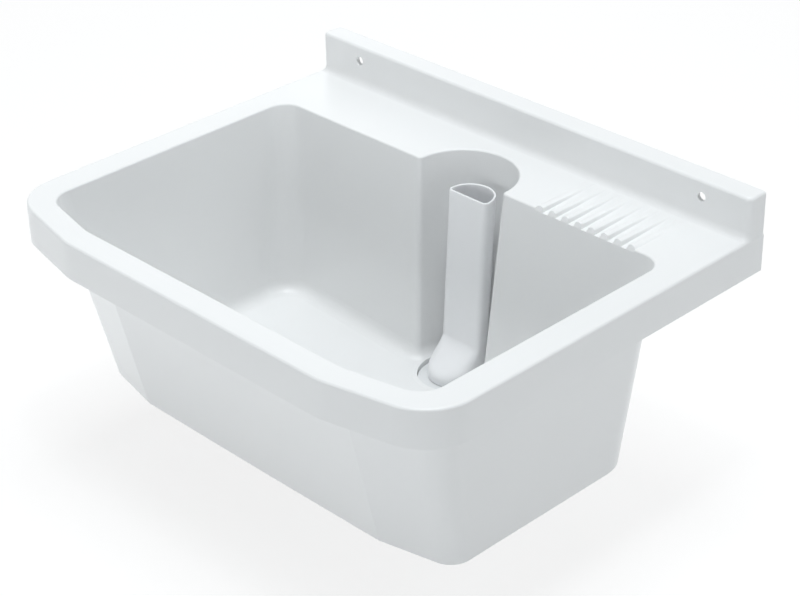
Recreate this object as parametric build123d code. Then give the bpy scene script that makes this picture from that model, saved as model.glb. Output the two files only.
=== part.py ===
from build123d import *
from math import cos, exp, pi, radians, sin, tan
import os

# Utility laundry sink, wall hung, with a lift-out overflow standpipe and its drain fitting.
# Millimetres. X runs along the wall, +Y into the wall, +Z up.
# The origin is on the wall plane, on the sink's centre line, level with the rim top.

os.makedirs("parts", exist_ok=True)

# ---------------------------------------------------------------- driving dimensions
# basin, seen in plan
overall_width = 600.0
overall_depth = 480.0
wall = 3.0                      # moulded wall thickness
facet_angle = 12.0              # the front runs back this much beside its straight middle
rim_front_half = 180.0          # half the straight run of the rim's front edge
rim_corner_radius = 55.0
rim_kink_radius = 60.0
side_rim = 33.0                 # rim beside the bowl
front_rim = 29.0                # rim in front of the bowl
deck_depth = 112.0              # from the wall to the bowl's mouth
mouth_front_half = 184.0        # half the straight run of the mouth's front edge
mouth_front_radius = 28.0
mouth_rear_radius = 22.0
mouth_kink_radius = 90.0
outer_front_half = 172.0        # half the straight run of the bowl's front, outside
outer_kink_radius = 5.0         # its creases are crisper than the mouth's

# basin, seen from the side
skirt_height = 41.0             # apron that hangs from the rim's outer edge
upstand_height = 45.0           # splash upstand against the wall
upstand_depth = 24.0
upstand_inset = 1.0             # its ends stand in from the rim's sides
upstand_corner_radius = 6.5
bowl_depth = 217.0              # rim top to the floor beside the walls
floor_fall = 15.0               # the floor dishes this much further down to the drain
dish_radius = 400.0             # how far from the drain the dish reaches
side_inset = 15.0               # how much each wall leans in from mouth to floor
front_inset = 51.0
rear_inset = 18.0
kink_inset = 14.0               # inside only: outside, the creases run straight down
floor_rear_radius = 36.0
floor_front_radius = 22.0

# rounding of the moulding
rim_edge_radius = 2.5
mouth_edge_radius = 2.0
upstand_edge_radius = 3.5
upstand_foot_radius = 7.0
floor_fillet = 15.0
outer_floor_fillet = 3.0
recess_edge_radius = 5.0

# standpipe recess in the rear wall
recess_radius = 58.0
recess_centre = 108.0           # from the wall to the recess's centre at the rim
recess_taper = 11.0             # how much its radius shrinks from rim to floor

# washboard on the deck, right of the recess
rib_count = 8
rib_pitch = 16.8
rib_width = 10.2                # at its foot
rib_first = 103.0               # left side of the first rib
rib_crown_width = 7.4           # rounded crest of a rib
rib_crown_share = 0.25          # rounding of the crest, as a share of the rib's height
rib_height = 2.8                # above the deck at the bowl's edge
rib_rear_height = 0.3           # where it fades out
rib_rear = 33.0                 # from the wall to the ribs' rear ends
rib_setback = 2.2               # a rib's crest ends this far behind the bowl's edge
groove_depth = 3.0              # fall of the grooves at the bowl's edge

# wall screws
screw_spacing = 480.0
screw_height = 27.0             # above the rim
screw_hole_radius = 5.0
screw_boss_radius = 10.0
screw_boss_depth = 2.0
screw_hole_rounding = 1.2

# stiffening gussets behind and under the deck
gusset_count = 5
gusset_pitch = 100.0
gusset_thickness = 4.0
gusset_reach = 90.0             # from the wall

# drain
drain_distance = 126.0          # from the wall to the drain's axis
seat_depth = 8.5                # round seat sunk into the floor
seat_floor = 4.0                # moulding under the seat
seat_margin = 5.0               # pad under the seat is wider than the seat by this
seat_clearance = 0.8            # around the flange, in its seat
flange_radius = 36.4
flange_thickness = 3.0
flange_edge_radius = 1.0
upper_gasket_thickness = 1.5
shank_radius = 24.4             # threaded part under the flange, which the lock nut clamps
shank_length = 22.0
tail_radius = 23.9              # outside of the one-and-a-half-inch pipe thread below it
tail_length = 60.0              # from the flange to the tail's lower end
tail_bore_radius = 20.5
tail_chamfer = 1.5
relief_width = 1.5              # plain groove between the two threads
relief_depth = 0.8
hole_clearance = 0.8            # between the shank and the hole in the floor
gasket_clearance = 0.3          # between the shank and the rings round it
thread_clearance = 0.15         # between the shank and the nut
grid_depth = 30.0               # cross bars in the tail, below the flange's top
grid_bar = 3.0
lower_gasket_thickness = 3.0
lower_gasket_radius = 37.0
washer_thickness = 1.5
washer_radius = 36.0
nut_height = 11.0
nut_radius = 30.0               # body of the nut, under its lugs
nut_lug_count = 6
nut_lug_reach = 4.0
nut_lug_width = 9.0
nut_edge_radius = 1.0

# overflow standpipe
pipe_drop = 28.0                # from rim top to the pipe's mouth
pipe_radius = 27.0
pipe_wall = 2.2
pipe_corner_radius = 5.2        # between the flat front and the round back
pipe_top_centre = 97.5          # from the wall to the centre of the round back, at the mouth
pipe_lean = 3.8                 # degrees, the mouth nearer to the wall
pipe_side = 0.2                 # straight sides between its back and its corners
elbow_top = 30.0                # above the flange: the elbow starts here
elbow_drops = (0, 1.5, 3, 5, 7.5, 10, 13, 16, 19, 22, 24)   # its sections, below its start
elbow_reach = 28.5              # drop in which the front swings out in full
elbow_bulge = 0.75              # a lower value gives a rounder toe
elbow_blend = 3.5               # drop in which the front turns out of the pipe
heel_top = 15.0                 # drop at which the back starts to come forward
foot_radius = 25.5
foot_height = 6.0               # round foot, above the flange
foot_corner_radius = 24.5
foot_base = 3.0                 # thickness of the foot's underside
spigot_radius = 18.4
spigot_bore_radius = 15.6
spigot_length = 22.0
seal_height = 6.0
seal_groove_depth = 1.2
seal_offset = 10.0              # from the flange's top to the middle of the seal
seal_running_gap = 0.3
seal_groove_play = 0.1
seal_edge_radius = 1.2

# ---------------------------------------------------------------- derived levels
mouth_half = overall_width / 2 - side_rim
floor_level = -bowl_depth
drain_level = floor_level - floor_fall
seat_level = drain_level - seat_depth
flange_bottom = seat_level + upper_gasket_thickness
flange_top = flange_bottom + flange_thickness
pad_bottom = seat_level - seat_floor
tail_bottom = flange_bottom - tail_length
seat_radius = flange_radius + seat_clearance
margin = 20.0                   # how far cutting bodies run past what they cut
tie = wall / 2                  # how far bodies reach into each other where they join
near = 0.01                     # edges this close to a level or a line lie on it


# ---------------------------------------------------------------- shared shapes
def centred_positions(count, pitch):
    return [(index - (count - 1) / 2) * pitch for index in range(count)]


def drain_place(level):
    """Place on the drain's axis at a level."""
    return Pos(0, -drain_distance, level)


def upright(radius, height):
    """Upright cylinder that stands on its place."""
    return Cylinder(radius, height, align=(Align.CENTER, Align.CENTER, Align.MIN))


def ring(outer, inner, height, edge_radius=0):
    """Flat ring, with its outer edges rounded where a radius is given."""
    body = upright(outer, height)
    if edge_radius > 0:
        body = fillet(body.edges().filter_by(GeomType.CIRCLE), edge_radius)
    return body - upright(inner, height)


# ---------------------------------------------------------------- basin
def plan_outline(half_width, rear, front, front_half, rear_radius, corner_radius, kink_radius):
    """Face with a straight rear, straight sides and a front that runs back at both ends."""
    corner = front + (half_width - front_half) * tan(radians(facet_angle))
    points = [
        (front_half, front),
        (half_width, corner),
        (half_width, rear),
        (-half_width, rear),
        (-half_width, corner),
        (-front_half, front),
    ]
    face = make_face(Polyline(*points, close=True))
    radii = [
        (points[0], kink_radius),
        (points[1], corner_radius),
        (points[2], rear_radius),
        (points[3], rear_radius),
        (points[4], corner_radius),
        (points[5], kink_radius),
    ]
    for (x, y), radius in radii:
        if radius > 0:
            vertex = face.vertices().sort_by_distance(Vector(x, y, 0))[0]
            face = fillet(vertex, radius)
    return face


def rim_face():
    return plan_outline(
        overall_width / 2, 0, -overall_depth, rim_front_half, 0, rim_corner_radius, rim_kink_radius
    )


def skirt_inner_face():
    return plan_outline(
        overall_width / 2 - wall,
        margin,
        -overall_depth + wall,
        rim_front_half,
        0,
        rim_corner_radius - wall,
        rim_kink_radius - wall,
    )


def bowl_face(level, grow, front_half, kink_radius):
    """Bowl section at a level below the rim, grown outwards; its walls lean evenly."""
    share = level / bowl_depth
    rear = -deck_depth - rear_inset * share + grow
    bowl = plan_outline(
        mouth_half - side_inset * share + grow,
        rear,
        -overall_depth + front_rim + front_inset * share - grow,
        front_half,
        mouth_rear_radius + (floor_rear_radius - mouth_rear_radius) * share + grow,
        mouth_front_radius + (floor_front_radius - mouth_front_radius) * share + grow,
        kink_radius,
    )
    radius = recess_radius - recess_taper * share + grow
    centre = -recess_centre - rear_inset * share
    face = (bowl + Pos(0, centre) * Circle(radius)).face()
    reach = (radius**2 - (rear - centre) ** 2) ** 0.5
    for side in (-1, 1):
        vertex = face.vertices().sort_by_distance(Vector(side * reach, rear, 0))[0]
        face = fillet(vertex, recess_edge_radius - grow)
    return face


def floor_envelope(drop):
    """Everything above the floor, which is dished towards the flat round the drain."""
    flat = floor_level - drop
    low = drain_level - drop
    inner = seat_radius + seat_margin
    reach = 2 * overall_width
    run = dish_radius - inner
    arc_radius = (run**2 + floor_fall**2) / (2 * floor_fall)
    half_sag = arc_radius - (arc_radius**2 - (run / 2) ** 2) ** 0.5
    dish = ThreePointArc((inner, low), (inner + run / 2, flat - half_sag), (dish_radius, flat))
    rest = Polyline(
        (dish_radius, flat), (reach, flat), (reach, margin), (0, margin), (0, low), (inner, low)
    )
    body = revolve(Plane.XZ * make_face([dish, rest]), Axis.Z)
    return Pos(0, -drain_distance, 0) * body


def floor_edges(body):
    """Edges where the bowl's walls meet its floor."""
    found = []
    for edge in body.edges():
        box = edge.bounding_box()
        round_drain = abs(box.min.Z - box.max.Z) < near and box.max.Z < drain_level + near
        if box.max.Z < floor_level + margin and box.size.Z < margin and not round_drain:
            found.append(edge)
    return found


def bowl_body(grow, front_half, half_inset, kink_radius, bottom_radius):
    """The bowl as a filled body: its cavity, or the cavity grown by the wall."""
    depth = bowl_depth + floor_fall + margin
    low_half = front_half - half_inset * depth / bowl_depth
    top = bowl_face(0, grow, front_half, kink_radius)
    bottom = Pos(0, 0, -depth) * bowl_face(depth, grow, low_half, kink_radius)
    body = loft([bottom, top], ruled=True) & floor_envelope(grow)
    return fillet(floor_edges(body), bottom_radius)


def upstand_body():
    """Upstand block with rounded front corners, reaching down through the rim."""
    width = overall_width - 2 * upstand_inset
    height = upstand_height + skirt_height
    block = Box(width, upstand_depth, height)
    block = Pos(0, -upstand_depth / 2, upstand_height - height / 2) * block
    corners = [edge for edge in block.edges().filter_by(Axis.Z) if edge.center().Y < -wall]
    return fillet(corners, upstand_corner_radius)


def rim_body():
    """Rim, skirt and upstand as one filled body with its outside edges rounded."""
    body = extrude(rim_face(), -skirt_height)
    outline = [
        edge
        for edge in body.edges()
        if abs(edge.center().Z) < near and edge.center().Y < -wall
    ]
    body = fillet(outline, rim_edge_radius) + upstand_body()
    foot = [
        edge
        for edge in body.edges()
        if abs(edge.center().Z) < near and abs(edge.center().Y + upstand_depth) < near
    ]
    body = fillet(foot, upstand_foot_radius)
    crest = [
        edge
        for edge in body.edges()
        if abs(edge.center().Z - upstand_height) < near and edge.center().Y < -wall / 2
    ]
    return fillet(crest, upstand_edge_radius)


def rim_hollow():
    """Space under the rim and deck and behind the upstand, open below and at the back."""
    below = extrude(skirt_inner_face(), skirt_height + margin - wall)
    below = Pos(0, 0, -skirt_height - margin) * below
    depth = upstand_depth - wall + margin
    height = upstand_height + skirt_height - wall + margin
    width = overall_width - 2 * upstand_inset - 2 * wall
    behind = Box(width, depth, height)
    return below + Pos(0, margin - depth / 2, upstand_height - wall - height / 2) * behind


def gusset(x):
    """Upright web that ties the upstand and the deck to the wall plane."""
    outline = Polyline(
        (0, upstand_height - tie),
        (-upstand_depth + tie, upstand_height - tie),
        (-upstand_depth + tie, -tie),
        (-gusset_reach, -tie),
        (-gusset_reach, -2 * wall),
        (-upstand_depth, -skirt_height),
        (0, -skirt_height),
        close=True,
    )
    web = extrude(Plane.YZ * make_face(outline), gusset_thickness / 2, both=True)
    return Pos(x, 0, 0) * web


def screw_bars(radius, start, end):
    """Round bars along Y at the two screw places, between two distances from the wall."""
    bar = Rot(90, 0, 0) * Cylinder(radius, end - start)
    y = -(start + end) / 2
    return [Pos(x, y, screw_height) * bar for x in centred_positions(2, screw_spacing)]


def rib_section(distance, left_depth, right_depth):
    """Section of a rib at a distance from the wall, with the grooves' depths beside it."""
    share = (distance - rib_rear) / (deck_depth - rib_rear)
    crest = rib_rear_height + (rib_height - rib_rear_height) * share
    left = -left_depth * share
    right = -right_depth * share
    low = min(left, right)
    shoulder = crest - rib_crown_share * (crest - low)
    foot = rib_width / 2
    crown = rib_crown_width / 2
    outline = [
        Polyline((-crown, shoulder), (-foot, left), (-foot, low - tie)),
        Line((-foot, low - tie), (foot, low - tie)),
        Polyline((foot, low - tie), (foot, right), (crown, shoulder)),
        ThreePointArc((crown, shoulder), (0, crest), (-crown, shoulder)),
    ]
    return Pos(0, -distance, 0) * (Plane.XZ * make_face(outline))


def washboard_rib(index):
    """One raised rib, which grows from the rear to the bowl's edge."""
    left_depth = 0 if index == 0 else groove_depth
    right_depth = 0 if index == rib_count - 1 else groove_depth
    rear = rib_section(rib_rear, left_depth, right_depth)
    front = rib_section(deck_depth, left_depth, right_depth)
    rib = loft([rear, front], ruled=True)
    return Pos(rib_first + index * rib_pitch + rib_width / 2, 0, 0) * rib


def washboard_front():
    """Cutting body that gives the ribs and grooves one leaning face above the bowl's wall."""
    lean = rib_setback / (rib_height + groove_depth)
    edge = -deck_depth - rear_inset * groove_depth / bowl_depth
    low = -groove_depth - wall
    side = Polyline(
        (edge + lean * (low + groove_depth), low),
        (edge + lean * (margin + groove_depth), margin),
        (edge - margin, margin),
        (edge - margin, low),
        close=True,
    )
    length = (rib_count - 1) * rib_pitch + rib_width
    front = extrude(Plane.YZ * make_face(side), length / 2, both=True)
    return Pos(rib_first + length / 2, 0, 0) * front


def washboard_bed():
    """Cutting body of the grooves' floor, which falls from the rear to the bowl's edge."""
    run = deck_depth - rib_rear
    reach = run + margin
    side = Polyline(
        (-rib_rear, 0),
        (-rib_rear, margin),
        (-rib_rear - reach, margin),
        (-rib_rear - reach, -groove_depth * reach / run),
        close=True,
    )
    width = (rib_count - 1) * rib_pitch
    bed = extrude(Plane.YZ * make_face(side), width / 2, both=True)
    return Pos(rib_first + (rib_width + width) / 2, 0, 0) * bed


def washboard_backing():
    """Extra thickness under the grooves, which keeps the wall's thickness below them."""
    length = (rib_count - 1) * rib_pitch + rib_width + 2 * wall
    depth = deck_depth - rib_rear
    height = groove_depth + wall - tie
    x = rib_first - wall + length / 2
    y = -rib_rear - depth / 2
    return Pos(x, y, -tie - height / 2) * Box(length, depth, height)


def mouth_edges(body):
    """Edges of the bowl's mouth, at the rim top."""
    front = -overall_depth + front_rim
    found = []
    for edge in body.edges():
        box = edge.bounding_box()
        centre = edge.center()
        level = max(abs(box.min.Z), abs(box.max.Z)) < near
        beside = abs(centre.X) < mouth_half + tie
        between = front - tie < centre.Y < -recess_centre + recess_radius + tie
        if level and beside and between:
            found.append(edge)
    return found


def sink_basin():
    body = rim_body() - rim_hollow()
    for x in centred_positions(gusset_count, gusset_pitch):
        body += gusset(x)
    skin_back = upstand_depth - wall
    for boss in screw_bars(screw_boss_radius, skin_back - screw_boss_depth, skin_back + tie):
        body += boss
    body += washboard_backing()
    body += bowl_body(wall, outer_front_half, 0, outer_kink_radius, outer_floor_fillet)
    body += drain_place(pad_bottom) * upright(seat_radius + seat_margin, drain_level - pad_bottom)
    body -= bowl_body(0, mouth_front_half, kink_inset, mouth_kink_radius, floor_fillet)
    body = fillet(mouth_edges(body), mouth_edge_radius)
    body -= washboard_bed()
    for index in range(rib_count):
        body += washboard_rib(index)
    body -= washboard_front()
    body -= drain_place(seat_level) * upright(seat_radius, margin)
    body -= drain_place(pad_bottom - margin) * upright(shank_radius + hole_clearance, 2 * margin)
    for hole in screw_bars(screw_hole_radius, 0, upstand_depth + margin):
        body -= hole
    brims = []
    for edge in body.edges().filter_by(GeomType.CIRCLE):
        in_front = abs(edge.center().Y + upstand_depth) < near
        if in_front and abs(edge.radius - screw_hole_radius) < near:
            brims.append(edge)
    return fillet(brims, screw_hole_rounding)


# ---------------------------------------------------------------- drain fitting
def drain_body():
    """Flange, threaded shank and threaded tail in one piece, with a cross in its bore."""
    shank_bottom = tail_length - shank_length
    tail = upright(tail_radius, shank_bottom - relief_width)
    tail = chamfer(tail.edges().group_by(Axis.Z)[0], tail_chamfer)
    flange = upright(flange_radius, flange_thickness)
    flange = fillet(flange.edges().group_by(Axis.Z)[-1], flange_edge_radius)
    body = tail + upright(tail_radius - relief_depth, tail_length)
    body += Pos(0, 0, shank_bottom) * upright(shank_radius, shank_length)
    body += Pos(0, 0, tail_length) * flange
    body -= upright(tail_bore_radius, tail_length + flange_thickness)
    cross_level = tail_length + flange_thickness - grid_depth
    for turn in (0, 90):
        bar = Box(2 * tail_bore_radius + grid_bar, grid_bar, grid_bar)
        body += Pos(0, 0, cross_level) * Rot(0, 0, turn) * bar
    return drain_place(tail_bottom) * body


def lock_nut():
    """Ring nut with grip lugs round it."""
    body = upright(nut_radius, nut_height)
    reach = nut_lug_reach + tie
    lug = Box(reach, nut_lug_width, nut_height)
    lug = Pos(nut_radius - tie + reach / 2, 0, nut_height / 2) * lug
    for index in range(nut_lug_count):
        body += Rot(0, 0, index * 360 / nut_lug_count) * lug
    body = fillet(body.edges().group_by(Axis.Z)[0], nut_edge_radius)
    return body - upright(shank_radius + thread_clearance, nut_height)


# ---------------------------------------------------------------- overflow standpipe
def pipe_section(radius, depth, corner):
    """Round back and flat front this far before the centre, with rounded front corners."""
    half = radius - corner
    bend = depth - corner
    slant = corner * cos(radians(45))
    outline = [
        ThreePointArc((radius, 0), (0, radius), (-radius, 0)),
        Line((-radius, 0), (-radius, -bend)),
        ThreePointArc((-radius, -bend), (-half - slant, -bend - slant), (-half, -depth)),
        Line((-half, -depth), (half, -depth)),
        ThreePointArc((half, -depth), (half + slant, -bend - slant), (radius, -bend)),
        Line((radius, -bend), (radius, 0)),
    ]
    return make_face(outline)


def pipe_centre(level):
    """Y of the centre of the pipe's round back, at a level."""
    return -pipe_top_centre - (-pipe_drop - level) * tan(radians(pipe_lean))


def toe_share(drop):
    """How far the elbow's front has swung out, from 0 in the pipe to 1 at the foot."""
    drop = max(drop, 0)
    turn = 1 - exp(-((drop / elbow_blend) ** 2))
    return sin(pi / 2 * min(drop / elbow_reach, 1) ** elbow_bulge) * turn


def heel_share(drop):
    """How far the elbow's back has come forward, from 0 in the pipe to 1 at the foot."""
    share = (drop - heel_top) / (elbow_top - foot_height - heel_top)
    share = min(max(share, 0), 1)
    return (1 - cos(pi * share)) / 2


def elbow_section(drop, shrink):
    """Section of the elbow below its start, drawn in by a wall thickness."""
    level = flange_top + elbow_top - drop
    toe = toe_share(drop - shrink) / toe_share(elbow_top - foot_height - shrink)
    heel = heel_share(drop + shrink)
    back = pipe_centre(level) + (-drain_distance - pipe_centre(level)) * heel
    radius = pipe_radius + (foot_radius - pipe_radius) * heel
    corner = pipe_corner_radius + (foot_corner_radius - pipe_corner_radius) * toe
    start = pipe_centre(level) - pipe_corner_radius - pipe_side
    front = start + (-drain_distance - foot_corner_radius - pipe_side - start) * toe
    depth = back - front
    corner = min(corner, depth - pipe_side, radius - pipe_side)
    return Pos(0, back, level) * pipe_section(radius - shrink, depth - shrink, corner - shrink)


def standpipe_form(shrink):
    """Leaning pipe, elbow and round foot as a filled body, drawn in by a wall thickness."""
    mouth = -pipe_drop + (margin if shrink > 0 else 0)
    depth = pipe_corner_radius + pipe_side - shrink
    top = pipe_section(pipe_radius - shrink, depth, pipe_corner_radius - shrink)
    top = Pos(0, pipe_centre(mouth), mouth) * top
    body = loft([elbow_section(0, shrink), top], ruled=True)
    body += loft([elbow_section(drop, shrink) for drop in reversed(elbow_drops)])
    sole = flange_top + (foot_base if shrink > 0 else 0)
    foot = extrude(elbow_section(elbow_drops[-1], shrink), -(flange_top + foot_height - sole))
    return body + foot


def overflow_standpipe():
    body = standpipe_form(0)
    body += drain_place(flange_top - spigot_length) * upright(spigot_radius, spigot_length)
    body -= standpipe_form(pipe_wall)
    bore = upright(spigot_bore_radius, spigot_length + foot_base)
    body -= drain_place(flange_top - spigot_length) * bore
    groove_height = seal_height + 2 * seal_groove_play
    groove = ring(spigot_radius + margin, spigot_radius - seal_groove_depth, groove_height)
    return body - drain_place(flange_top - seal_offset - groove_height / 2) * groove


def standpipe_seal():
    """Rubber ring in the spigot's groove."""
    outer = tail_bore_radius - seal_running_gap
    inner = spigot_radius - seal_groove_depth
    body = ring(outer, inner, seal_height, seal_edge_radius)
    return drain_place(flange_top - seal_offset - seal_height / 2) * body


# ---------------------------------------------------------------- the pieces, one file each
lower_gasket_level = pad_bottom - lower_gasket_thickness
washer_level = lower_gasket_level - washer_thickness
nut_level = washer_level - nut_height
ring_bore = shank_radius + gasket_clearance
upper_gasket = ring(flange_radius, ring_bore, upper_gasket_thickness)
lower_gasket = ring(lower_gasket_radius, ring_bore, lower_gasket_thickness)
slip_washer = ring(washer_radius, ring_bore, washer_thickness)

pieces = {
    "sink_basin": sink_basin(),
    "drain_body": drain_body(),
    "flange_gasket": drain_place(seat_level) * upper_gasket,
    "lower_gasket": drain_place(lower_gasket_level) * lower_gasket,
    "slip_washer": drain_place(washer_level) * slip_washer,
    "lock_nut": drain_place(nut_level) * lock_nut(),
    "overflow_standpipe": overflow_standpipe(),
    "standpipe_seal": standpipe_seal(),
}

for name, piece in pieces.items():
    export_step(piece, f"parts/{name}.step")
    print(name, round(piece.volume), "mm3")
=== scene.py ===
import math

import bmesh
import bpy
from mathutils import Matrix, Vector


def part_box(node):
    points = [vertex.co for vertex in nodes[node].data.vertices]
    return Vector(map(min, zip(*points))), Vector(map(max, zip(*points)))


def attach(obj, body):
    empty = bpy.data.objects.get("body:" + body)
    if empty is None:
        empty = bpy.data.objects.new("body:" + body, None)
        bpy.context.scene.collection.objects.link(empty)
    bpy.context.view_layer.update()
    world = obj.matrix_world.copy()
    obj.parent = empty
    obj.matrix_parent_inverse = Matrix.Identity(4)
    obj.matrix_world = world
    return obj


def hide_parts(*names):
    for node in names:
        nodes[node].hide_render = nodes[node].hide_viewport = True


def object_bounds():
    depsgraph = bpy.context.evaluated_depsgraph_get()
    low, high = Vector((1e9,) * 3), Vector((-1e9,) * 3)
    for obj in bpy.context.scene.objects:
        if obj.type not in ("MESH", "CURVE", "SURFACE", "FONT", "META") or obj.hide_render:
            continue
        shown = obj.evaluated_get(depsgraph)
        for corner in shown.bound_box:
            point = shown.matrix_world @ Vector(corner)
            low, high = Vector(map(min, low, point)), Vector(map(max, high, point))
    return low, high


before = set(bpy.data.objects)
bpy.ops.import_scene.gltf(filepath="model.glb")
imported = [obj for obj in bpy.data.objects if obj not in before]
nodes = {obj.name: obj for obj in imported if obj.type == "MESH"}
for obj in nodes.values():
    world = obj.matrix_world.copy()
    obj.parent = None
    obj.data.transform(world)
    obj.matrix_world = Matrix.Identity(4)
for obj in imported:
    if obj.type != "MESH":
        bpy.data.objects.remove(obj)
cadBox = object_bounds()
print("laundry sink: frame loaded with", len(nodes), "nodes")


def blend(first, second, share):
    return first + (second - first) * share


def smoothStep(low, high, value):
    share = min(1.0, max(0.0, (value - low) / (high - low)))
    return share * share * (3 - 2 * share)


def arcPoints(middle, reach, start, end, steps):
    # points along a circle or an ellipse, from one angle in degrees to another
    points = []
    for step in range(steps + 1):
        angle = math.radians(blend(start, end, step / steps))
        points.append((middle[0] + reach[0] * math.cos(angle), middle[1] + reach[1] * math.sin(angle)))
    return points


def quarterRound(size, steps=4):
    # a rounded edge: each point's inset from the side and distance from the end face
    return arcPoints((size, size), (-size, -size), 0, 90, steps)


def feed(tree, socket, value):
    # a number or a colour is set on the socket, and another node's output is linked to it
    if isinstance(value, (int, float, tuple)):
        socket.default_value = value
    else:
        tree.links.new(value, socket)


def addNode(tree, kind, place, **values):
    # values that match an input's name go to that input, the rest are node settings
    node = tree.nodes.new(kind)
    node.location = place
    for name, value in values.items():
        if name in node.inputs:
            feed(tree, node.inputs[name], value)
        else:
            setattr(node, name, value)
    return node


def mathNode(tree, operation, first, second, place, clamp=False):
    node = addNode(tree, "ShaderNodeMath", place, operation=operation, use_clamp=clamp)
    feed(tree, node.inputs[0], first)
    feed(tree, node.inputs[1], second)
    return node.outputs[0]


def spreadNode(tree, value, band, place, result=(0.0, 1.0)):
    # spreads the values of a band over the result, and holds them at its ends
    node = addNode(tree, "ShaderNodeMapRange", place, Value=value)
    for name, limit in zip(("From Min", "From Max", "To Min", "To Max"), (*band, *result)):
        node.inputs[name].default_value = limit
    return node.outputs["Result"]


def colourNode(tree, share, first, second, place):
    # the first colour where the share is 0, the second where it is 1
    node = addNode(tree, "ShaderNodeMix", place, data_type="RGBA")
    feed(tree, node.inputs["Factor"], share)
    feed(tree, node.inputs[6], first)       # of the sockets named A and B, these are the colours
    feed(tree, node.inputs[7], second)
    return node.outputs[2]


def smoothFaces(mesh, sharpAngle):
    mesh.polygons.foreach_set("use_smooth", [True] * len(mesh.polygons))
    mesh.set_sharp_from_angle(angle=math.radians(sharpAngle))


def placeObject(name, data):
    placed = bpy.data.objects.new(name, data)
    bpy.context.scene.collection.objects.link(placed)
    return placed


def meshObject(name, points, faces, sharpAngle=None):
    mesh = bpy.data.meshes.new(name)
    mesh.from_pydata(points, [], faces)
    mesh.validate()
    mesh.update()
    if sharpAngle is not None:
        smoothFaces(mesh, sharpAngle)
    return placeObject(name, mesh)


def joinRings(rings, closed=False):
    # skin over rings that all have the same number of points; closed joins the last ring to the first
    count = len(rings[0])
    points = [point for ring in rings for point in ring]
    faces = []
    for row in range(len(rings) if closed else len(rings) - 1):
        here = row * count
        there = (row + 1) % len(rings) * count
        for index in range(count):
            after = (index + 1) % count
            faces.append((here + index, here + after, there + after, there + index))
    return points, faces


def closedStack(name, rings):
    # rings joined into a skin, with both ends closed
    points, faces = joinRings(rings)
    count = len(rings[0])
    last = count * (len(rings) - 1)
    faces.append(tuple(reversed(range(count))))
    faces.append(tuple(range(last, last + count)))
    return meshObject(name, points, faces)


def uniteSolids(name, parts, sharpAngle, seam=0.00003):
    # one closed skin round solids that cross each other, with the slivers along its seams merged away
    first = parts[0]
    for other in parts[1:]:
        union = first.modifiers.new("unite", "BOOLEAN")
        union.operation = "UNION"
        union.solver = "EXACT"
        union.object = other
    shape = first.evaluated_get(bpy.context.evaluated_depsgraph_get())
    mesh = bpy.data.meshes.new_from_object(shape)
    mesh.name = name
    for part in parts:
        bpy.data.objects.remove(part)
    merged = bmesh.new()
    merged.from_mesh(mesh)
    bmesh.ops.remove_doubles(merged, verts=merged.verts, dist=seam)
    bmesh.ops.triangulate(merged, faces=[face for face in merged.faces if len(face.verts) > 4])
    merged.to_mesh(mesh)
    merged.free()
    smoothFaces(mesh, sharpAngle)
    return placeObject(name, mesh)


cameraSettings = {              # fitted to the sink's straight edges in the photograph
    "place": (1.32843, -1.49406, 0.96435),
    "azimuth": 45.78,           # degrees from the front, towards the washboard's side
    "elevation": 30.05,
    "roll": -1.07,
    "lens": 94.02,              # the lens and the film's width in millimetres
    "film": 36,
    "reach": (0.05, 60),        # nearest and farthest point that it sees
}


def makeCamera(settings):
    azimuth = math.radians(settings["azimuth"])
    elevation = math.radians(settings["elevation"])
    roll = math.radians(settings["roll"])
    ahead = Vector((
        -math.sin(azimuth) * math.cos(elevation),
        math.cos(azimuth) * math.cos(elevation),
        -math.sin(elevation),
    ))
    level = Vector((math.cos(azimuth), math.sin(azimuth), 0))
    upright = level.cross(ahead)
    right = level * math.cos(roll) + upright * math.sin(roll)
    up = upright * math.cos(roll) - level * math.sin(roll)
    data = bpy.data.cameras.new("photoCamera")
    data.lens = settings["lens"]
    data.sensor_width = settings["film"]
    data.clip_start, data.clip_end = settings["reach"]
    camera = placeObject("photoCamera", data)
    turn = Matrix((right, up, -ahead)).transposed().to_4x4()
    camera.matrix_world = Matrix.Translation(settings["place"]) @ turn
    bpy.context.scene.camera = camera


makeCamera(cameraSettings)
print("laundry sink: camera placed")


studioSettings = {
    "floorHalf": 9.0,
    "floorTone": 0.75,
    "floorToneSeen": 0.25,      # what the camera sees of the floor's light, so that the shadow stays soft
    "floorLift": 0.8,           # white added for the camera
    "ambient": 0.15,
    "lightColour": (0.95, 0.983, 1.0),
    "aim": (0, -0.25, -0.1),
    "lampDistance": 3.0,        # from the aim to each lamp
}
lampSettings = {                # degrees from the front and above the floor, size in metres, watts
    "overhead": {"azimuth": 0, "elevation": 90, "size": 1.6, "power": 53.5},
    "glint": {"azimuth": 60, "elevation": 78, "size": 0.3, "power": 7.5},
    "frontFill": {"azimuth": 0, "elevation": 4, "size": 1.6, "power": 28.5},
    "leftFront": {"azimuth": -30, "elevation": 4, "size": 1.6, "power": 7},
    "rightFill": {"azimuth": 90, "elevation": 4, "size": 1.6, "power": 18},
    "rightRear": {"azimuth": 120, "elevation": 30, "size": 1.6, "power": 7.5},
    "leftRear": {"azimuth": -120, "elevation": 30, "size": 1.6, "power": 7.5},
    "rear": {"azimuth": 180, "elevation": 60, "size": 1.6, "power": 9.5},
}


def backdropRays(tree, rays):
    # 1 for the rays that show what lies behind, straight, mirrored or through something clear
    camera, glossy, through = [rays[f"Is {kind} Ray"] for kind in ("Camera", "Glossy", "Transmission")]
    seen = mathNode(tree, "MAXIMUM", camera, glossy, (-500, -160))
    return mathNode(tree, "MAXIMUM", seen, through, (-350, -260))


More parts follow.
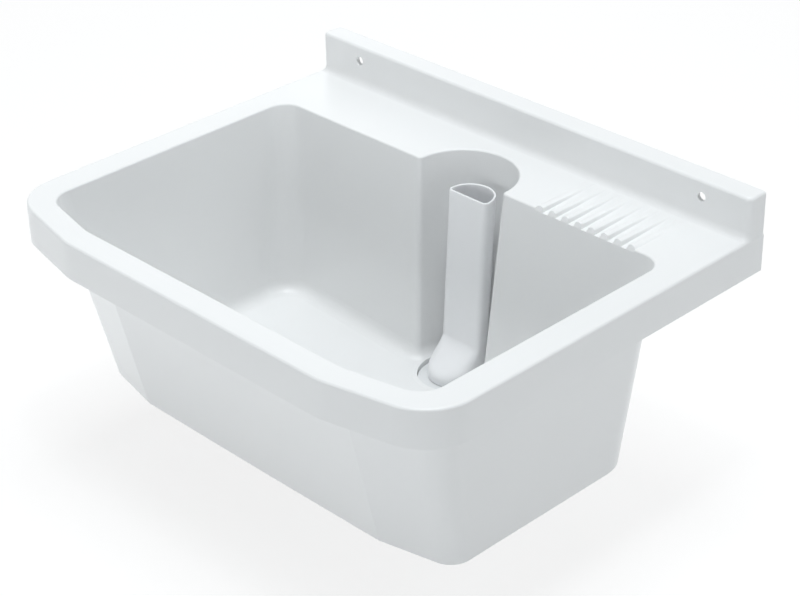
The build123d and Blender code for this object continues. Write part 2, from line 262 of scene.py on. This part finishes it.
def makeFloorPaper(settings):
    material = bpy.data.materials.new("studioFloorPaper")
    material.use_nodes = True
    tree = material.node_tree
    tree.nodes.clear()
    rays = addNode(tree, "ShaderNodeLightPath", (-700, -160)).outputs
    plain = (settings["floorTone"],) * 3 + (1,)
    seen = (settings["floorToneSeen"],) * 3 + (1,)
    tone = colourNode(tree, rays["Is Camera Ray"], plain, seen, (-200, 60))
    paper = addNode(tree, "ShaderNodeBsdfDiffuse", (0, 0), Color=tone)
    strength = mathNode(tree, "MULTIPLY", backdropRays(tree, rays), settings["floorLift"], (-150, -160))
    glow = addNode(tree, "ShaderNodeEmission", (0, -160), Strength=strength)
    both = addNode(tree, "ShaderNodeAddShader", (200, 0))
    feed(tree, both.inputs[0], paper.outputs[0])
    feed(tree, both.inputs[1], glow.outputs[0])
    addNode(tree, "ShaderNodeOutputMaterial", (400, 0), Surface=both.outputs[0])
    return material


def makeFloor(settings):
    half = settings["floorHalf"]
    level = min(corner[2] for corner in cadBox)
    points = [(-half, -half, level), (half, -half, level), (half, half, level), (-half, half, level)]
    floor = meshObject("studioFloor", points, [(0, 1, 2, 3)])
    floor.data.materials.append(makeFloorPaper(settings))


def makeSurroundings(settings):
    world = bpy.data.worlds.new("studioWorld")
    world.use_nodes = True
    tree = world.node_tree
    tree.nodes.clear()
    rays = addNode(tree, "ShaderNodeLightPath", (-700, 0)).outputs
    colour = (*settings["lightColour"], 1)
    soft = addNode(tree, "ShaderNodeBackground", (-200, 100), Color=colour, Strength=settings["ambient"])
    white = addNode(tree, "ShaderNodeBackground", (-200, -60), Color=(1, 1, 1, 1), Strength=1)
    mix = addNode(tree, "ShaderNodeMixShader", (0, 0), Fac=backdropRays(tree, rays))
    feed(tree, mix.inputs[1], soft.outputs[0])
    feed(tree, mix.inputs[2], white.outputs[0])
    addNode(tree, "ShaderNodeOutputWorld", (200, 0), Surface=mix.outputs[0])
    bpy.context.scene.world = world


def makeLamp(name, settings, studio):
    azimuth = math.radians(settings["azimuth"])
    elevation = math.radians(settings["elevation"])
    away = Vector((
        math.sin(azimuth) * math.cos(elevation),
        -math.cos(azimuth) * math.cos(elevation),
        math.sin(elevation),
    ))
    data = bpy.data.lights.new(name, "AREA")
    data.shape = "SQUARE"
    data.size = settings["size"]
    data.energy = settings["power"]
    data.color = studio["lightColour"]
    place = Vector(studio["aim"]) + away * studio["lampDistance"]
    turn = (-away).to_track_quat("-Z", "Y").to_matrix().to_4x4()
    placeObject(name, data).matrix_world = Matrix.Translation(place) @ turn


makeFloor(studioSettings)
makeSurroundings(studioSettings)
for lampName, lamp in lampSettings.items():
    makeLamp(lampName, lamp, studioSettings)
bpy.context.scene.view_settings.view_transform = "Standard"
print("laundry sink: studio lit")


def newGroup(name, inputs, outputs):
    group = bpy.data.node_groups.new(name, "ShaderNodeTree")
    for label, kind, value in inputs:
        socket = group.interface.new_socket(label, in_out="INPUT", socket_type=kind)
        socket.default_value = value
    for label, kind in outputs:
        group.interface.new_socket(label, in_out="OUTPUT", socket_type=kind)
    inside = addNode(group, "NodeGroupInput", (-900, 0))
    result = addNode(group, "NodeGroupOutput", (900, 0))
    return group, inside.outputs, result.inputs


def noiseNode(group, spot, size, place, **values):
    return addNode(group, "ShaderNodeTexNoise", place, Vector=spot, Scale=size, **values).outputs["Fac"]


skinSettings = {                # sizes of all patterns are in repeats to the metre
    "flow": {"Detail": 3.0, "Roughness": 0.55, "Distortion": 0.4},
    "flowBand": (0.35, 0.7),
    "gloss": {"Detail": 4.0, "Roughness": 0.6},
    "glossSize": 42.0,
    "glossBand": (0.3, 0.7),
    "glossSwing": (-0.012, 0.016),      # added to the roughness
    "peel": {"Detail": 2.0, "Roughness": 0.5},
    "flowHeight": 1.5,                  # beside the orange peel's own height
}


def makeMouldedSkin(settings):
    # satin skin of a moulding: slow changes of tone and gloss from the melt's flow, and a fine orange peel
    group, given, result = newGroup("mouldedSkin", [
        ("Colour", "NodeSocketColor", (0.8, 0.8, 0.8, 1)),
        ("Flow Colour", "NodeSocketColor", (0.75, 0.76, 0.77, 1)),
        ("Roughness", "NodeSocketFloat", 0.4),
        ("Flow Size", "NodeSocketFloat", 9.0),
        ("Peel Size", "NodeSocketFloat", 700.0),
    ], [
        ("Colour", "NodeSocketColor"),
        ("Roughness", "NodeSocketFloat"),
        ("Height", "NodeSocketFloat"),
    ])
    spot = addNode(group, "ShaderNodeTexCoord", (-1100, -300)).outputs["Object"]
    flow = noiseNode(group, spot, given["Flow Size"], (-700, 200), **settings["flow"])
    share = spreadNode(group, flow, settings["flowBand"], (-500, 200))
    tint = colourNode(group, share, given["Colour"], given["Flow Colour"], (-200, 300))
    feed(group, result["Colour"], tint)
    gloss = noiseNode(group, spot, settings["glossSize"], (-700, -60), **settings["gloss"])
    swing = spreadNode(group, gloss, settings["glossBand"], (-500, -60), settings["glossSwing"])
    rough = mathNode(group, "ADD", given["Roughness"], swing, (-200, -60), clamp=True)
    feed(group, result["Roughness"], rough)
    peel = noiseNode(group, spot, given["Peel Size"], (-700, -320), **settings["peel"])
    slow = mathNode(group, "MULTIPLY", flow, settings["flowHeight"], (-450, -420))
    feed(group, result["Height"], mathNode(group, "ADD", peel, slow, (-200, -320)))
    return group


markSettings = {
    "streaks": ((0.5, 14.0), (-0.9, 18.0), (1.7, 11.0)),    # turn in radians, and how thin
    "tilt": (0.3, 0.2),                 # shares of the turn, so that no streak lies along an axis
    "flatness": 0.7,
    "streakBand": (0.66, 0.74),
    "patchSize": 7.0,
    "patchBand": (0.48, 0.62),
    "detail": 2.0,
    "roughening": 0.35,                 # added to the roughness under a full mark
    "height": -0.4,                     # added to the skin's height under a full mark
}


def makeHandlingMarks(settings):
    # faint hair scratches and scuffs in scattered patches, as a mask
    group, given, result = newGroup("handlingMarks", [
        ("Size", "NodeSocketFloat", 30.0),
        ("Amount", "NodeSocketFloat", 0.5),
    ], [
        ("Mask", "NodeSocketFloat"),
    ])
    spot = addNode(group, "ShaderNodeTexCoord", (-1100, 0)).outputs["Object"]
    tiltX, tiltY = settings["tilt"]
    streaks = []
    for index, (turn, squeeze) in enumerate(settings["streaks"]):
        row = -220 * index
        thin = (1.0, squeeze, squeeze * settings["flatness"])
        turned = (turn * tiltX, turn * tiltY, turn)
        mapping = addNode(group, "ShaderNodeMapping", (-900, row), Vector=spot, Rotation=turned, Scale=thin)
        streak = noiseNode(group, mapping.outputs[0], given["Size"], (-700, row), Detail=settings["detail"])
        streaks.append(spreadNode(group, streak, settings["streakBand"], (-500, row)))
    total = streaks[0]
    for index, streak in enumerate(streaks[1:], 1):
        total = mathNode(group, "MAXIMUM", total, streak, (-300, -120 * index))
    patch = noiseNode(group, spot, settings["patchSize"], (-700, -700), Detail=settings["detail"])
    area = spreadNode(group, patch, settings["patchBand"], (-500, -700))
    marks = mathNode(group, "MULTIPLY", total, area, (0, 0))
    feed(group, result["Mask"], mathNode(group, "MULTIPLY", marks, given["Amount"], (200, 0), clamp=True))
    return group


mouldedSkin = makeMouldedSkin(skinSettings)
handlingMarks = makeHandlingMarks(markSettings)
print("laundry sink: shared effects ready")


def placeGroup(tree, group, place, values):
    node = tree.nodes.new("ShaderNodeGroup")
    node.node_tree = group
    node.location = place
    for name, value in values.items():
        node.inputs[name].default_value = value
    return node.outputs


def addBump(tree, shader, height, settings):
    bump = addNode(
        tree, "ShaderNodeBump", (-20, -260),
        Strength=settings["bump"], Distance=settings["bumpDepth"], Height=height,
    )
    feed(tree, shader["Normal"], bump.outputs[0])


def startMaterial(name, settings):
    # a material, the inputs of its shader, and the outputs of the moulded skin
    material = bpy.data.materials.new(name)
    material.use_nodes = True
    tree = material.node_tree
    shader = tree.nodes["Principled BSDF"]
    shader.inputs["Specular IOR Level"].default_value = settings["gloss"]
    skin = placeGroup(tree, mouldedSkin, (-600, 100), {
        "Colour": (*settings["colour"], 1),
        "Flow Colour": (*settings["flowColour"], 1),
        "Roughness": settings["roughness"],
        "Flow Size": settings["flowSize"],
        "Peel Size": settings["peelSize"],
    })
    return material, tree, shader.inputs, skin


def makePlastic(name, settings):
    material, tree, shader, skin = startMaterial(name, settings)
    shader["IOR"].default_value = settings["ior"]
    if "glow" in settings:
        shader["Subsurface Weight"].default_value = settings["glow"]
        shader["Subsurface Radius"].default_value = (settings["glowDepth"],) * 3
        shader["Subsurface Scale"].default_value = 1.0
    marks = placeGroup(tree, handlingMarks, (-600, -260), {
        "Size": settings["markSize"],
        "Amount": settings["marks"],
    })["Mask"]
    worn = (*settings["markColour"], 1)
    feed(tree, shader["Base Color"], colourNode(tree, marks, skin["Colour"], worn, (-300, 200)))
    lift = mathNode(tree, "MULTIPLY", marks, markSettings["roughening"], (-300, -60))
    feed(tree, shader["Roughness"], mathNode(tree, "ADD", skin["Roughness"], lift, (-150, -60), clamp=True))
    cut = mathNode(tree, "MULTIPLY", marks, markSettings["height"], (-300, -260))
    addBump(tree, shader, mathNode(tree, "ADD", skin["Height"], cut, (-150, -260)), settings)
    return material


def makeRubber(name, settings):
    material, tree, shader, skin = startMaterial(name, settings)
    shader["Sheen Weight"].default_value = settings["sheen"]
    shader["Sheen Roughness"].default_value = settings["sheenRoughness"]
    feed(tree, shader["Base Color"], skin["Colour"])
    feed(tree, shader["Roughness"], skin["Roughness"])
    addBump(tree, shader, skin["Height"], settings)
    return material


basinPlastic = {
    "colour": (0.87, 0.875, 0.875), "flowColour": (0.857, 0.863, 0.865), "flowSize": 5.0,
    "roughness": 0.32, "ior": 1.49, "gloss": 0.5,
    "peelSize": 620.0, "bump": 0.12, "bumpDepth": 0.0004,
    "markSize": 110.0, "marks": 0.02, "markColour": (0.78, 0.79, 0.80),
}
standpipePlastic = {
    "colour": (0.94, 0.948, 0.965), "flowColour": (0.93, 0.94, 0.96), "flowSize": 12.0,
    "roughness": 0.31, "ior": 1.49, "gloss": 0.5,
    "glow": 0.35, "glowDepth": 0.003,       # light that spreads inside the wall, and how far in metres
    "peelSize": 760.0, "bump": 0.1, "bumpDepth": 0.0003,
    "markSize": 130.0, "marks": 0.03, "markColour": (0.68, 0.70, 0.73),
}
drainPlastic = {
    "colour": (0.80, 0.81, 0.815), "flowColour": (0.76, 0.775, 0.785), "flowSize": 30.0,
    "roughness": 0.38, "ior": 1.49, "gloss": 0.45,
    "peelSize": 900.0, "bump": 0.15, "bumpDepth": 0.0002,
    "markSize": 70.0, "marks": 0.4, "markColour": (0.66, 0.67, 0.68),
}
nutPlastic = {
    "colour": (0.79, 0.80, 0.805), "flowColour": (0.74, 0.75, 0.76), "flowSize": 35.0,
    "roughness": 0.52, "ior": 1.49, "gloss": 0.4,
    "peelSize": 1100.0, "bump": 0.22, "bumpDepth": 0.0002,
    "markSize": 80.0, "marks": 0.5, "markColour": (0.64, 0.65, 0.66),
}
gasketRubber = {
    "colour": (0.33, 0.34, 0.345), "flowColour": (0.40, 0.405, 0.41), "flowSize": 60.0,
    "roughness": 0.72, "gloss": 0.3, "sheen": 0.1, "sheenRoughness": 0.6,
    "peelSize": 1600.0, "bump": 0.35, "bumpDepth": 0.0002,
}
sealRubber = {
    "colour": (0.02, 0.02, 0.022), "flowColour": (0.05, 0.05, 0.053), "flowSize": 80.0,
    "roughness": 0.6, "gloss": 0.4, "sheen": 0.15, "sheenRoughness": 0.6,
    "peelSize": 1800.0, "bump": 0.3, "bumpDepth": 0.0002,
}
materials = {
    "basin": makePlastic("basinPlastic", basinPlastic),
    "standpipe": makePlastic("standpipePlastic", standpipePlastic),
    "drain": makePlastic("drainPlastic", drainPlastic),
    "nut": makePlastic("nutPlastic", nutPlastic),
    "gasket": makeRubber("gasketRubber", gasketRubber),
    "seal": makeRubber("sealRubber", sealRubber),
}
print("laundry sink: materials ready")


# levels and places that the new pieces share with the nodes they stand for
pipeLow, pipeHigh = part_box("overflow_standpipe")
drainLow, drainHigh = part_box("drain_body")
sealLow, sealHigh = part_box("standpipe_seal")
nutLow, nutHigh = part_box("lock_nut")
flangeTop = drainHigh[2]
drainCentre = (drainLow[1] + drainHigh[1]) / 2      # distance of the drain's axis along y

standpipe = {
    "radius": 0.027, "wall": 0.0022,
    "mouthLevel": pipeHigh[2], "mouthCentre": -0.0975, "lean": 3.8,
    "frontCorner": 0.0052, "frontDepth": 0.0054,
    "straightRows": (0.004, 0.03, 0.08, 0.13),          # below the mouth
    "elbowStart": 0.039, "elbowReach": 0.033,           # above the flange, and how far down it swings out
    "elbowKnee": 0.6,                                   # a larger one starts the elbow more gently
    "elbowSpread": 0.85, "elbowLead": 0.002, "elbowRows": 44,
    "heelStart": 0.015, "heelReach": 0.009,
    "footRadius": 0.0255, "toeRadius": drainCentre - pipeLow[1], "footHeight": 0.006,
    "soleRound": 0.0012, "footFloor": 0.003, "floorCorner": 0.0012,
    "spigotRadius": 0.0184, "spigotBore": 0.0156, "spigotEnd": pipeLow[2],
    "spigotShoulder": ((0.0012, 0.0), (0.0004, 0.0003), (0.0, 0.0010)),     # out and down from the sole
    "spigotNose": ((0.0, 0.0022), (0.0003, 0.0012), (0.0009, 0.0003), (0.0014, 0.0)),   # in, up from its end
    "boreEdge": (0.0005, 0.0006),                       # at the spigot's end: across and up
    "grooveCentre": (sealLow[2] + sealHigh[2]) / 2, "grooveHeight": 0.0062, "grooveDepth": 0.0012,
    "grooveEdge": 0.0003,
    "columns": 96, "outlineSteps": (24, 16), "leastCorner": 0.0002, "sharpAngle": 48,
}


def ringAngles(count, start=0.0):
    # clockwise seen from above, so that a skin drawn downwards looks outward
    return [start - math.tau * index / count for index in range(count)]


def axisPoint(angle, reach, level):
    # a point at a distance from the drain's axis
    return (reach * math.cos(angle), drainCentre + reach * math.sin(angle), level)


def roundRing(settings, radius, level):
    return [axisPoint(angle, radius, level) for angle in ringAngles(settings["columns"], math.pi / 2)]


def pipeOutline(settings, radius, depth, corner):
    # round back, straight sides and a flat front with round corners, in evenly spaced points
    # that start at the middle of the back
    corner = max(min(corner, depth, radius), settings["leastCorner"])
    backSteps, cornerSteps = settings["outlineSteps"]
    path = arcPoints((0, 0), (radius, radius), 90, 0, backSteps)
    path += arcPoints((radius - corner, corner - depth), (corner, corner), 0, -90, cornerSteps)
    path.append((0.0, -depth))
    count = settings["columns"]
    lengths = [0.0]
    for first, second in zip(path, path[1:]):
        lengths.append(lengths[-1] + math.dist(first, second))
    half = []
    place = 0
    for index in range(count // 2 + 1):
        target = lengths[-1] * index / (count // 2)
        while place < len(path) - 2 and lengths[place + 1] < target:
            place += 1
        span = lengths[place + 1] - lengths[place]
        share = (target - lengths[place]) / span if span > 0 else 0
        half.append(tuple(blend(path[place][axis], path[place + 1][axis], share) for axis in (0, 1)))
    return half + [(-x, y) for x, y in half[-2:0:-1]]


def standpipeRing(settings, height, shrink):
    # outline at a height above the flange, drawn in by the wall where asked
    level = flangeTop + height
    slope = math.tan(math.radians(settings["lean"]))
    centre = settings["mouthCentre"] - (settings["mouthLevel"] - level) * slope
    share = min(max((settings["elbowStart"] - height) / settings["elbowReach"], 0), 1)
    knee = settings["elbowKnee"]
    toe = math.sin(math.pi / 2 * share ** 2 * (1 + knee) / (share + knee))
    heel = smoothStep(settings["heelStart"], settings["heelStart"] - settings["heelReach"], height)
    back = blend(centre, drainCentre, heel)
    radius = blend(settings["radius"], settings["footRadius"], heel)
    front = blend(centre - settings["frontDepth"], drainCentre - settings["toeRadius"], toe)
    corner = blend(settings["frontCorner"], settings["toeRadius"], toe ** settings["elbowSpread"])
    outline = pipeOutline(settings, radius - shrink, back - front - shrink, corner - shrink)
    return [(x, back + y, level) for x, y in outline]


def loweredRing(ring, drop):
    return [(x, y, z - drop) for x, y, z in ring]


def insetRing(ring, distance, level):
    # drawn in towards the drain's axis, at a level of its own
    inset = []
    for x, y, z in ring:
        offset = Vector((x, y - drainCentre))
        offset *= 1 - distance / offset.length
        inset.append((offset.x, drainCentre + offset.y, level))
    return inset


def pipeSkin(settings, shrink):
    # the straight tube and the elbow, from the mouth down to the foot
    top = settings["mouthLevel"] - flangeTop
    start = settings["elbowStart"] + settings["elbowLead"]
    rows = settings["elbowRows"]
    heights = [top - depth for depth in settings["straightRows"]]
    heights += [blend(start, settings["footHeight"], row / rows) for row in range(rows + 1)]
    return [standpipeRing(settings, height, shrink) for height in heights]


def spigotRings(settings):
    # from the sole's middle down the spigot with its seal's groove, and up its bore
    radius = settings["spigotRadius"]
    tip = settings["spigotEnd"]
    edge = settings["grooveEdge"]
    grooveTop = settings["grooveCentre"] + settings["grooveHeight"] / 2
    grooveBottom = grooveTop - settings["grooveHeight"]
    deep = radius - settings["grooveDepth"]
    bore = settings["spigotBore"]
    across, up = settings["boreEdge"]
    floor = flangeTop + settings["footFloor"]
    profile = [(radius + out, flangeTop - down) for out, down in settings["spigotShoulder"]]
    profile += [(radius, grooveTop + edge), (radius - edge, grooveTop), (deep, grooveTop)]
    profile += [(deep, grooveBottom), (radius - edge, grooveBottom), (radius, grooveBottom - edge)]
    profile += [(radius - inward, tip + rise) for inward, rise in settings["spigotNose"]]
    profile += [(bore + across, tip), (bore, tip + up), (bore, floor - up), (bore + up, floor)]
    return [roundRing(settings, reach, level) for reach, level in profile]


def makeStandpipe(settings):
    top = settings["mouthLevel"] - flangeTop
    wall = settings["wall"]
    lip = quarterRound(wall / 2)
    foot = settings["footHeight"]
    # outside, from the round lip at the mouth down to the sole and the spigot
    rings = [loweredRing(standpipeRing(settings, top, inset), drop) for inset, drop in reversed(lip)]
    rings += pipeSkin(settings, 0)
    sole = standpipeRing(settings, foot, 0)
    rings += [insetRing(sole, inset, flangeTop + rise) for inset, rise in quarterRound(settings["soleRound"])]
    rings += spigotRings(settings)
    # inside, from the foot's floor up to the lip
    corner = settings["floorCorner"]
    floor = flangeTop + settings["footFloor"]
    inside = standpipeRing(settings, foot, wall)
    rings += [insetRing(inside, corner * (1 - share), floor + corner * share) for share in (0.0, 0.5, 1.0)]
    rings += reversed(pipeSkin(settings, wall))
    rings += [loweredRing(standpipeRing(settings, top, wall - inset), drop) for inset, drop in lip[:-1]]
    points, faces = joinRings(rings, closed=True)
    return meshObject("overflowPipe", points, faces, settings["sharpAngle"])


threadSettings = {
    "pitch": 0.00231, "rowsPerTurn": 8,
    "crest": 0.18,              # half the crest's share of a turn
    "rootShare": 1.15,          # a larger one widens the root
    "flank": 0.6,               # a smaller one makes the flanks steeper
}


def threadDip(level, angle, settings, bottom, top):
    # how far a thread's flank and root lie under its crest, faded out at both ends
    crest = threadSettings["crest"]
    turn = (level / threadSettings["pitch"] - angle / math.tau) % 1.0
    dip = smoothStep(crest, 0.5, turn) * (1 - smoothStep(0.5, 1 - crest, turn))
    dip = min(1.0, threadSettings["rootShare"] * dip ** threadSettings["flank"])
    fade = settings["threadFade"]
    ends = min(smoothStep(bottom, bottom + fade, level), 1 - smoothStep(top - fade, top, level))
    return settings["threadDepth"] * dip * ends


def turnedRing(settings, radius, level, thread=None):
    # thread, where there is one, gives its lower and upper end
    ring = []
    for angle in ringAngles(settings["columns"]):
        dip = threadDip(level, angle, settings, *thread) if thread else 0
        ring.append(axisPoint(angle, radius - dip, level))
    return ring


def threadRings(settings, radius, start, end, thread):
    # rows along a threaded wall
    rows = max(2, round((thread[1] - thread[0]) / threadSettings["pitch"] * threadSettings["rowsPerTurn"]))
    levels = [blend(start, end, row / rows) for row in range(rows + 1)]
    return [turnedRing(settings, radius, level, thread) for level in levels]


drainFitting = {
    "columns": 96, "bore": 0.0205,
    "boreRound": ((0.0, 0.0009), (0.0003, 0.0003), (0.0009, 0.0)),      # out, and down from the flange's top
    "flangeRadius": drainHigh[0], "flangeThickness": 0.003, "flangeRound": 0.0011,
    "flangeUnderEdge": 0.0004,
    "dish": ((0.006, 0.00015), (0.004, 0.0001)),        # in from the bore and the rim's round, and down
    "shankRadius": 0.0244, "shankShoulder": (0.0004, 0.0006), "shankEnd": -0.261,
    "shankThread": (0.0014, 0.0006),                    # clear of the flange and of the shank's end
    "reliefEnd": -0.2625, "reliefRadius": 0.0231,
    "reliefEdge": (0.0005, 0.0002, 0.0004),             # at the shank, the relief's corners and the tail
    "tailRadius": 0.0239, "tailEnd": drainLow[2], "tailThread": 0.0004,
    "chamfer": 0.0015, "tailEdge": 0.0005, "boreRows": (-0.28, -0.25),
    "threadDepth": 0.0011, "threadFade": 0.0016, "sharpAngle": 40,
}


def makeDrain(settings):
    top = flangeTop
    under = top - settings["flangeThickness"]
    bore = settings["bore"]
    radius = settings["flangeRadius"]
    edge = settings["flangeRound"]
    shank = settings["shankRadius"]
    (dishIn, dishInDepth), (dishOut, dishOutDepth) = settings["dish"]
    profile = [(bore + out, top - down) for out, down in settings["boreRound"]]
    # the flange is a shade dished round the bore, as moulded flanges are
    profile += [(bore + dishIn, top - dishInDepth), (radius - edge - dishOut, top - dishOutDepth)]
    profile += [(radius - inset, top - drop) for inset, drop in reversed(quarterRound(edge))]
    lowEdge = settings["flangeUnderEdge"]
    shoulder, shoulderDrop = settings["shankShoulder"]
    profile += [(radius, under + lowEdge), (radius - lowEdge, under)]
    profile += [(shank + shoulder, under), (shank, under - shoulderDrop)]
    rings = [turnedRing(settings, reach, level) for reach, level in profile]

    shankEnd, reliefEnd, tip = settings["shankEnd"], settings["reliefEnd"], settings["tailEnd"]
    threadTop, threadBottom = under - settings["shankThread"][0], shankEnd + settings["shankThread"][1]
    rings += threadRings(settings, shank, threadTop, threadBottom, (threadBottom, threadTop))
    tail, relief = settings["tailRadius"], settings["reliefRadius"]
    shankEdge, reliefCorner, tailTopEdge = settings["reliefEdge"]
    profile = [(shank - shankEdge, shankEnd), (relief, shankEnd - reliefCorner)]
    profile += [(relief, reliefEnd + reliefCorner), (tail - tailTopEdge, reliefEnd)]
    rings += [turnedRing(settings, reach, level) for reach, level in profile]

    threadTop, threadBottom = reliefEnd - settings["tailThread"], tip + settings["chamfer"]
    rings += threadRings(settings, tail, threadTop, threadBottom, (threadBottom, threadTop))
    lowEdge = settings["tailEdge"]
    profile = [(tail - settings["chamfer"], tip), (bore + lowEdge, tip), (bore, tip + lowEdge)]
    profile += [(bore, level) for level in settings["boreRows"]]
    rings += [turnedRing(settings, reach, level) for reach, level in profile]
    points, faces = joinRings(rings, closed=True)
    return meshObject("drainFlangeAndTail", points, faces, settings["sharpAngle"])


drainCross = {
    "level": -0.266, "width": 0.003, "height": 0.003,
    "reach": drainFitting["bore"] + 0.0012,             # each bar's end runs into the wall of the bore
    "crown": 0.0012, "crownSteps": 6, "corner": 0.0004,
    "hubRadius": 0.0042, "columns": 32,
    "hubTop": ((0.0022, 0.0006), (0.0008, 0.0003), (0.0, -0.0006)),     # in from its side, up from the bars
    "hubBottom": ((0.0, 0.0002), (0.0005, -0.0003)),                    # the same, from their underside
    "sharpAngle": 50,
}


def crossBar(settings, low, high, turned):
    # bar with a rounded top, along x or turned along y
    half = settings["width"] / 2
    crown = settings["crown"]
    corner = settings["corner"]
    section = [(-half + corner, low), (half - corner, low), (half, low + corner)]
    section += arcPoints((0, high - crown), (half, crown), 0, 180, settings["crownSteps"])
    section.append((-half, low + corner))
    rings = []
    for along in (-settings["reach"], settings["reach"]):
        if turned:
            rings.append([(-across, drainCentre + along, level) for across, level in section])
        else:
            rings.append([(along, drainCentre + across, level) for across, level in section])
    return closedStack("crossBar", rings)


def makeCross(settings):
    # two bars and a small hub, moulded across the bore
    low = settings["level"] - settings["height"] / 2
    high = low + settings["height"]
    profile = [(settings["hubRadius"] - inward, high + rise) for inward, rise in settings["hubTop"]]
    profile += [(settings["hubRadius"] - inward, low + rise) for inward, rise in settings["hubBottom"]]
    hub = [turnedRing(settings, radius, level) for radius, level in profile]
    parts = [crossBar(settings, low, high, turned) for turned in (False, True)]
    parts.append(closedStack("crossHub", hub))
    return uniteSolids("drainCross", parts, settings["sharpAngle"])


lockNut = {
    "columns": 192, "bottom": nutLow[2], "top": nutHigh[2], "radius": 0.030, "edge": 0.001,
    "topRound": ((0.0006, 0.0), (0.0002, 0.0002), (0.0, 0.0006)),       # in from the side, down from the top
    "lugCount": 6, "lugReach": nutHigh[0], "lugWidth": 0.0088, "lugFlank": (0.0010, 0.0009),
    "lugCrown": 0.0002, "lugLimit": 0.0001,
    "bore": 0.02455, "boreChamfer": 0.0012, "threadLead": 0.0004,
    "threadDepth": -0.0009,     # below 0, so that the root lies deeper in the nut than the bore
    "threadFade": 0.0014, "sharpAngle": 45,
}


def nutReach(settings, angle):
    # distance from the axis to the nut's outside, over its body and its rounded lugs
    turn = math.tau / settings["lugCount"]
    offset = (angle + turn / 2) % turn - turn / 2
    across = abs(settings["radius"] * math.sin(offset))
    half = settings["lugWidth"] / 2
    inward, outward = settings["lugFlank"]
    rise = 1 - smoothStep(half - inward, half + outward, across)
    crown = settings["lugReach"] / math.cos(offset) - settings["lugCrown"] * (across / half) ** 2
    return blend(settings["radius"], min(crown, settings["lugReach"] + settings["lugLimit"]), rise)


def nutRing(settings, inset, level):
    angles = ringAngles(settings["columns"])
    return [axisPoint(angle, nutReach(settings, angle) - inset, level) for angle in angles]


def makeLockNut(settings):
    low, high = settings["bottom"], settings["top"]
    mouth = settings["bore"] + settings["boreChamfer"]
    rings = [turnedRing(settings, mouth, high)]
    rings += [nutRing(settings, inset, high - drop) for inset, drop in settings["topRound"]]
    rings.append(nutRing(settings, 0, (low + high) / 2))
    rings += [nutRing(settings, inset, low + rise) for inset, rise in quarterRound(settings["edge"])]
    rings.append(turnedRing(settings, mouth, low))
    lead = settings["threadLead"]
    rings += threadRings(settings, settings["bore"], low + lead, high - lead, (low, high))
    points, faces = joinRings(rings, closed=True)
    return meshObject("gripNut", points, faces, settings["sharpAngle"])


def dress(piece, body, finish, slot, *replaced):
    piece.data.materials.append(materials[finish])
    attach(piece, body)
    if replaced:
        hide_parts(*replaced)


dress(makeStandpipe(standpipe), "standpipe", "standpipe", "standpipe_plastic", "overflow_standpipe")
drainPiece = makeDrain(drainFitting)
crossPiece = makeCross(drainCross)
crossPiece.parent = drainPiece
dress(drainPiece, "basin", "drain", "drain_plastic", "drain_body")
dress(crossPiece, "basin", "drain", "drain_plastic")
dress(makeLockNut(lockNut), "basin", "nut", "nut_plastic", "lock_nut")
print("laundry sink: pipe, drain and nut built")

finishes = {
    "sink_basin": "basin",
    "slip_washer": "drain",
    "flange_gasket": "gasket",
    "lower_gasket": "gasket",
    "standpipe_seal": "seal",
}
for nodeName, finish in finishes.items():
    for slot in nodes[nodeName].material_slots:
        slot.material = materials[finish]
print("laundry sink: materials assigned")
